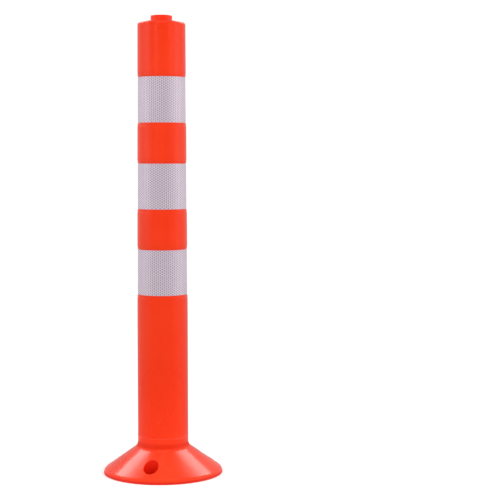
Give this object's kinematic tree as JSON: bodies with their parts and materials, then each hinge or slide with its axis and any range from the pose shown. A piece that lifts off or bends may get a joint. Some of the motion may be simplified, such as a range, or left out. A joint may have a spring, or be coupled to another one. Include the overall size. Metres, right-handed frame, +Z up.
{
  "type": "delineator post",
  "caption": "Flexible orange road delineator post with a conical bolt-down base, a neck that bends and springs back, white reflective bands and a knobbed crown.",
  "frame": {"origin": "on the post's axis at the underside of the base", "axes": "+Z up along the post, -Y towards the viewer's front"},
  "size_m": [0.196, 0.196, 0.75],
  "materials": {
    "post_moulding": "glossy fluorescent orange flexible polyurethane",
    "plug": "glossy fluorescent orange flexible polyurethane",
    "reflective_sheeting": "silver-white prismatic sheeting with a fine honeycomb of cells"
  },
  "bodies": {
    "base": {"base_flange": "post_moulding"},
    "neck_low": {"neck_segment_1": "post_moulding"},
    "neck_middle": {"neck_segment_2": "post_moulding"},
    "neck_high": {"neck_segment_3": "post_moulding"},
    "column": {"neck_segment_4": "post_moulding", "column_tube": "post_moulding", "top_plug": "plug", "band_bottom": "reflective_sheeting", "band_middle": "reflective_sheeting", "band_top": "reflective_sheeting"}
  },
  "joints": [
    {"name": "bend_front_low", "type": "hinge", "parent": "base", "child": "neck_low", "pos_m": [0, 0, 0.092], "axis": [1, 0, 0], "range_deg": [-45, 45], "stiffness_Nm_per_rad": 80, "deforming": ["neck_segment_1"]},
    {"name": "bend_front_high", "type": "hinge", "parent": "neck_low", "child": "neck_middle", "pos_m": [0, 0, 0.142], "axis": [1, 0, 0], "range_deg": [-45, 45], "stiffness_Nm_per_rad": 80, "deforming": ["neck_segment_2"]},
    {"name": "bend_side_low", "type": "hinge", "parent": "neck_middle", "child": "neck_high", "pos_m": [0, 0, 0.192], "axis": [0, 1, 0], "range_deg": [-45, 45], "stiffness_Nm_per_rad": 80, "deforming": ["neck_segment_3"]},
    {"name": "bend_side_high", "type": "hinge", "parent": "neck_high", "child": "column", "pos_m": [0, 0, 0.242], "axis": [0, 1, 0], "range_deg": [-45, 45], "stiffness_Nm_per_rad": 80, "deforming": ["neck_segment_4"]}
  ],
  "couplings": [
    {"joint": "bend_front_high", "follows": "bend_front_low", "ratio": 1},
    {"joint": "bend_side_high", "follows": "bend_side_low", "ratio": 1}
  ]
}
